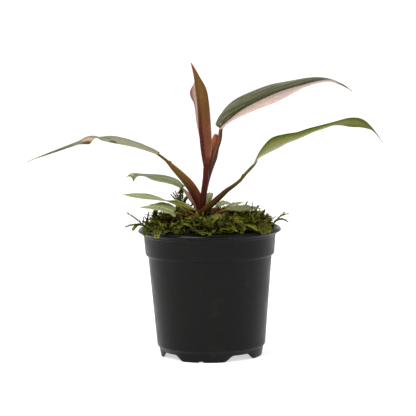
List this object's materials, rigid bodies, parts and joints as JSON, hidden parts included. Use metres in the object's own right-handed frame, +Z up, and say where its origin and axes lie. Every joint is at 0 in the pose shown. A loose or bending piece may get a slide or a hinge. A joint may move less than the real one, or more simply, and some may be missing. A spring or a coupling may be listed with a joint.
{
  "type": "pink princess philodendron in nursery pot",
  "caption": "Variegated philodendron with arching leaves, one of them half pink, standing in a black plastic nursery pot topped with moss.",
  "frame": {"origin": "on the surface that the pot stands on, midway between the outermost leaf tips", "axes": "+X to the right along the row of leaves, +Y to the back, +Z up along the pot's axis"},
  "size_m": [0.2655, 0.1094, 0.2201],
  "materials": {
    "pot_plastic": "moulded black polypropylene, satin",
    "potting_mix": "bark and peat, rough",
    "moss": "shaggy moss, matte",
    "red_brown_stem": "living stem skin, satin",
    "olive_petiole": "living petiole skin, satin",
    "sheath": "thin leaf sheath, satin",
    "new_leaf": "young leaf underside, soft sheen",
    "pink_leaf": "leaf half dark green and half pink, waxy",
    "olive_leaf": "olive leaf with a pale margin, waxy",
    "grey_green_leaf": "grey green leaf, waxy"
  },
  "bodies": {
    "root": {"pot": "pot_plastic", "potting_mix": "potting_mix", "moss": "moss", "stem": "red_brown_stem", "sheath": "sheath", "petiole_new": "red_brown_stem", "petiole_pink": "red_brown_stem", "petiole_right": "olive_petiole", "petiole_left": "olive_petiole", "petiole_small_back": "olive_petiole", "petiole_small_front": "red_brown_stem", "petiole_low_left": "olive_petiole", "petiole_low_right": "olive_petiole", "petiole_mid_right": "olive_petiole", "petiole_back_right": "olive_petiole", "petiole_crown_back": "olive_petiole", "petiole_front_low": "olive_petiole", "blade_new": "new_leaf", "blade_pink": "pink_leaf", "blade_right": "olive_leaf", "blade_left": "grey_green_leaf", "blade_small_back": "grey_green_leaf", "blade_small_front": "grey_green_leaf", "blade_low_left": "grey_green_leaf", "blade_low_right": "grey_green_leaf", "blade_mid_right": "grey_green_leaf", "blade_back_right": "grey_green_leaf", "blade_crown_back": "grey_green_leaf", "blade_front_low": "grey_green_leaf"}
  },
  "joints": []
}
